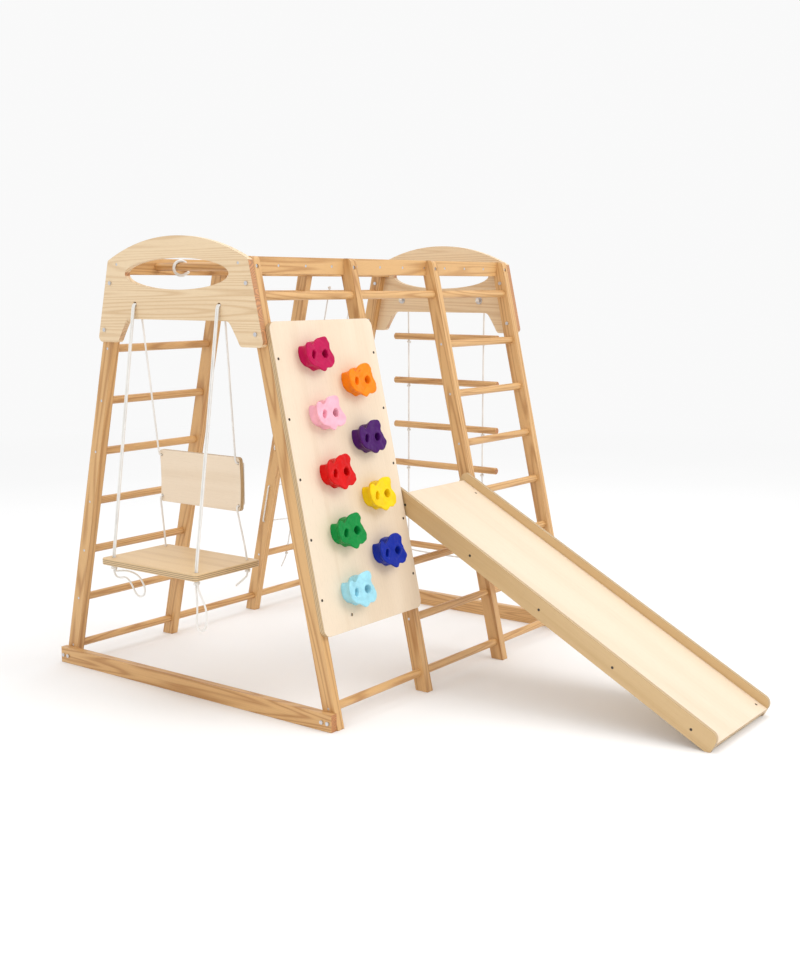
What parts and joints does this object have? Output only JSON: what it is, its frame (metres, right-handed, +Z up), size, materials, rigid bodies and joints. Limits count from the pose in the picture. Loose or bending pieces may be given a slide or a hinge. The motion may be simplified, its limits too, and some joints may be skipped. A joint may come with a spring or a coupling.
{
  "type": "indoor climbing frame",
  "caption": "Wooden indoor climbing frame with a climbing wall, slide, swing, rope ladder, rungs and net",
  "frame": {"origin": "middle of the underside of the near base bar, on the floor at the swing's end", "axes": "+X along the frame from the swing's end to the rope ladder's end, -Y towards the foot of the slide, +Z up"},
  "size_m": [1.542, 2.1006, 1.3819],
  "materials": {
    "pine": "satin",
    "light_pine": "satin",
    "birch_plywood": "satin",
    "rope": "matte",
    "zinc_hardware": "satin",
    "white_plastic": "gloss",
    "magenta_plastic": "matte",
    "orange_plastic": "matte",
    "pink_plastic": "matte",
    "purple_plastic": "matte",
    "red_plastic": "matte",
    "yellow_plastic": "matte",
    "green_plastic": "matte",
    "blue_plastic": "matte",
    "cyan_plastic": "matte"
  },
  "bodies": {
    "root": {"base_bar_bolts": "zinc_hardware", "blue_hold": "blue_plastic", "board_screws": "zinc_hardware", "climbing_board": "birch_plywood", "cyan_hold": "cyan_plastic", "far_base_bar": "pine", "far_end_panel": "light_pine", "front_post_1": "pine", "front_post_2": "pine", "front_post_3": "pine", "front_post_4": "pine", "front_rungs_bay_1": "pine", "front_rungs_bay_2": "pine", "front_rungs_bay_3": "pine", "front_top_rail": "pine", "green_hold": "green_plastic", "hold_bolts": "zinc_hardware", "hold_tee_nuts": "zinc_hardware", "ladder_washers": "zinc_hardware", "magenta_hold": "magenta_plastic", "monkey_bars": "pine", "near_base_bar": "pine", "near_end_panel": "light_pine", "net_column_far": "rope", "net_column_near": "rope", "net_knots": "rope", "net_rope": "rope", "orange_hold": "orange_plastic", "panel_bolts": "zinc_hardware", "panel_knots": "rope", "pink_hold": "pink_plastic", "purple_hold": "purple_plastic", "rail_bolts": "zinc_hardware", "rear_post_1": "pine", "rear_post_2": "pine", "rear_post_3": "pine", "rear_post_4": "pine", "rear_rungs_bay_1": "pine", "rear_rungs_bay_2": "pine", "rear_rungs_bay_3": "pine", "rear_top_rail": "pine", "red_hold": "red_plastic", "wood_screws": "zinc_hardware", "yellow_hold": "yellow_plastic"},
    "slide": {"slide_deck": "birch_plywood", "slide_near_wall": "birch_plywood", "slide_far_wall": "birch_plywood", "slide_upper_batten": "pine", "slide_lower_batten": "pine", "slide_screws": "zinc_hardware"},
    "swing": {"swing_seat": "birch_plywood", "swing_backrest": "birch_plywood", "swing_knots": "rope", "swing_rope_front_side": "rope", "swing_rope_rear_side": "rope"},
    "rope_ladder": {"ladder_rungs": "pine", "ladder_rope": "rope", "ladder_knots": "rope"},
    "bar_hook": {"bar_hook": "white_plastic"}
  },
  "joints": [
    {"name": "slide_lift_off", "type": "slide", "parent": "root", "child": "slide", "axis": [0, -0.4741, 0.8805], "range_m": [0, 0.1]},
    {"name": "swing_hinge", "type": "hinge", "parent": "root", "child": "swing", "pos_m": [0.006, 0, 1.183], "axis": [0, 1, 0], "range_deg": [-30, 30], "deforming": ["swing_rope_front_side", "swing_rope_rear_side"]},
    {"name": "rope_ladder_hinge", "type": "hinge", "parent": "root", "child": "rope_ladder", "pos_m": [1.3705, 0, 1.183], "axis": [0, 1, 0], "range_deg": [-40, 20], "deforming": ["ladder_rope"]},
    {"name": "hook_swing", "type": "hinge", "parent": "root", "child": "bar_hook", "pos_m": [0.1475, 0.135, 1.295], "axis": [0, 1, 0], "range_deg": [-60, 60]}
  ]
}
